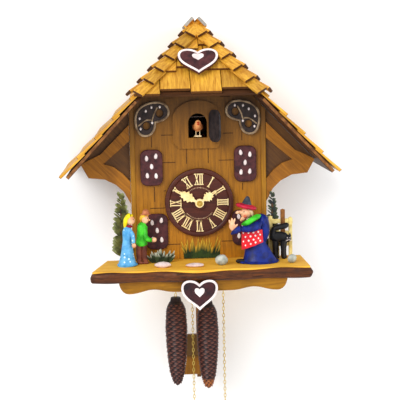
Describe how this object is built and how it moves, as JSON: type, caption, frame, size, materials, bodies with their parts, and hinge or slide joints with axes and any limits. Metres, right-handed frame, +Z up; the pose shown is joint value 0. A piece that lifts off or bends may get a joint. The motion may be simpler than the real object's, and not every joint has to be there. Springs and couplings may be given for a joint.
{
  "type": "cuckoo clock",
  "caption": "Wall-hung chalet cuckoo clock with a shingled half-hipped roof, wooden dial, pendulum, pine-cone weights on chains, carved figures on a shelf and a cuckoo behind a door.",
  "frame": {"origin": "centre of the flat back of the upper back board, just below the nail hole, on the wall plane", "axes": "+Z up, +Y into the wall, +X to the right as seen from the front; the dial faces -Y"},
  "size_m": [0.315, 0.177, 0.5414],
  "materials": {
    "honey_wood": "satin stained and varnished",
    "dark_wood": "satin dark stain",
    "shingle_wood": "satin varnish",
    "shelf_wood": "satin varnish with bark edge",
    "gingerbread": "painted satin with white icing",
    "dial_wood": "painted satin with printed numerals",
    "cream_plastic": "moulded, satin",
    "brass": "lightly tarnished",
    "steel": "plain",
    "cone_iron": "painted dark brown, satin",
    "paint_blue": "hand painted, satin",
    "paint_sky": "hand painted, satin",
    "paint_green": "hand painted, satin",
    "paint_black": "hand painted, satin",
    "paint_cream": "hand painted, satin",
    "paint_leaf": "hand painted, matt",
    "paint_slate": "painted, satin",
    "paint_bird": "hand painted, satin",
    "bellows_paper": "plain"
  },
  "bodies": {
    "root": {"facade": "honey_wood", "case_side_left": "honey_wood", "case_side_right": "honey_wood", "apron": "honey_wood", "wing_left": "honey_wood", "wing_right": "honey_wood", "bellows_pipe_left": "honey_wood", "bellows_pipe_right": "honey_wood", "roof_board_left": "dark_wood", "roof_board_right": "dark_wood", "hip_board": "dark_wood", "back_board": "dark_wood", "shingles": "shingle_wood", "shelf": "shelf_wood", "heart_top": "gingerbread", "heart_bottom": "gingerbread", "gingerbread_upper_left": "gingerbread", "gingerbread_upper_right": "gingerbread", "gingerbread_lower_left": "gingerbread", "gingerbread_lower_right": "gingerbread", "pretzel_left": "gingerbread", "pretzel_right": "gingerbread", "dial": "dial_wood", "front_plate": "brass", "back_plate": "brass", "gong": "steel", "witch": "paint_blue", "gretel": "paint_sky", "hansel": "paint_green", "cat": "paint_black", "fence": "paint_cream", "tree_left": "paint_leaf", "tree_right": "paint_leaf"},
    "rear_cover": {"rear_cover": "dark_wood"},
    "minute_work": {"minute_arbor": "steel", "minute_hand": "cream_plastic"},
    "hour_work": {"hour_wheel": "brass", "hour_hand": "cream_plastic"},
    "idler": {"idler_wheel": "brass"},
    "cuckoo_door": {"cuckoo_door": "paint_slate"},
    "cuckoo": {"cuckoo_bird": "paint_bird"},
    "weight_left": {"weight_left": "cone_iron", "weight_chain_left": "brass"},
    "weight_right": {"weight_right": "cone_iron", "weight_chain_right": "brass"},
    "free_chain_left": {"free_chain_left": "brass", "chain_hank_left": "brass", "chain_ring_left": "brass"},
    "free_chain_right": {"free_chain_right": "brass", "chain_hank_right": "brass", "chain_ring_right": "brass"},
    "chain_wheel_left": {"chain_wheel_left": "brass"},
    "chain_wheel_right": {"chain_wheel_right": "brass"},
    "escape_wheel": {"escape_wheel": "brass"},
    "pendulum": {"verge": "steel", "pendulum_rod": "dark_wood"},
    "pendulum_bob": {"pendulum_bob": "honey_wood"},
    "gong_hammer": {"gong_hammer": "steel"},
    "bellows_top_left": {"bellows_top_left": "bellows_paper"},
    "bellows_top_right": {"bellows_top_right": "bellows_paper"}
  },
  "joints": [
    {"name": "rear_cover_hinge", "type": "hinge", "parent": "root", "child": "rear_cover", "pos_m": [-0.0613, 0.0005, -0.1], "axis": [0, 0, 1], "range_deg": [0, 110]},
    {"name": "minute_spin", "type": "hinge", "parent": "root", "child": "minute_work", "pos_m": [0, -0.1, -0.115], "axis": [0, 1, 0], "continuous": true},
    {"name": "hour_spin", "type": "hinge", "parent": "root", "child": "hour_work", "pos_m": [0, -0.1, -0.115], "axis": [0, 1, 0], "continuous": true},
    {"name": "idler_spin", "type": "hinge", "parent": "root", "child": "idler", "pos_m": [0.015, -0.094, -0.115], "axis": [0, 1, 0], "continuous": true},
    {"name": "cuckoo_slide", "type": "slide", "parent": "root", "child": "cuckoo", "axis": [0, 1, 0], "range_m": [0, 0.025]},
    {"name": "door_swing", "type": "hinge", "parent": "root", "child": "cuckoo_door", "pos_m": [0.0129, -0.1076, -0.0255], "axis": [0, 0, 1], "range_deg": [-118.5, 0]},
    {"name": "weight_drop_left", "type": "slide", "parent": "root", "child": "weight_left", "axis": [0, 0, -1], "range_m": [0, 0.08]},
    {"name": "weight_drop_right", "type": "slide", "parent": "root", "child": "weight_right", "axis": [0, 0, -1], "range_m": [0, 0.08]},
    {"name": "free_rise_left", "type": "slide", "parent": "root", "child": "free_chain_left", "axis": [0, 0, 1], "range_m": [0, 0.08]},
    {"name": "free_rise_right", "type": "slide", "parent": "root", "child": "free_chain_right", "axis": [0, 0, 1], "range_m": [0, 0.08]},
    {"name": "chain_wheel_left_turn", "type": "hinge", "parent": "root", "child": "chain_wheel_left", "pos_m": [-0.019, -0.068, -0.14], "axis": [0, 1, 0], "range_deg": [-460, 0]},
    {"name": "chain_wheel_right_turn", "type": "hinge", "parent": "root", "child": "chain_wheel_right", "pos_m": [0.019, -0.068, -0.14], "axis": [0, 1, 0], "range_deg": [-460, 0]},
    {"name": "escape_spin", "type": "hinge", "parent": "root", "child": "escape_wheel", "pos_m": [0, -0.06, -0.103], "axis": [0, 1, 0], "continuous": true},
    {"name": "pendulum_swing", "type": "hinge", "parent": "root", "child": "pendulum", "pos_m": [0, -0.022, -0.08], "axis": [0, 1, 0], "range_deg": [-6, 6]},
    {"name": "bob_slide", "type": "slide", "parent": "pendulum", "child": "pendulum_bob", "axis": [0, 0, 1], "range_m": [-0.005, 0.01]},
    {"name": "hammer_lift", "type": "hinge", "parent": "root", "child": "gong_hammer", "pos_m": [-0.034, -0.0125, -0.16], "axis": [0, 1, 0], "range_deg": [-20, 0]},
    {"name": "bellows_lift_left", "type": "hinge", "parent": "root", "child": "bellows_top_left", "pos_m": [-0.05, -0.036, -0.1037], "axis": [-1, 0, 0], "range_deg": [0, 12]},
    {"name": "bellows_lift_right", "type": "hinge", "parent": "root", "child": "bellows_top_right", "pos_m": [0.05, -0.036, -0.1037], "axis": [-1, 0, 0], "range_deg": [0, 12]}
  ],
  "couplings": [
    {"joint": "hour_spin", "follows": "minute_spin", "ratio": 0.083333},
    {"joint": "idler_spin", "follows": "minute_spin", "ratio": -0.33333},
    {"joint": "door_swing", "follows": "cuckoo_slide", "rad_per_m": -82.379},
    {"joint": "free_rise_left", "follows": "weight_drop_left", "ratio": 1},
    {"joint": "free_rise_right", "follows": "weight_drop_right", "ratio": 1},
    {"joint": "chain_wheel_left_turn", "follows": "weight_drop_left", "rad_per_m": -100},
    {"joint": "chain_wheel_right_turn", "follows": "weight_drop_right", "rad_per_m": -100}
  ]
}
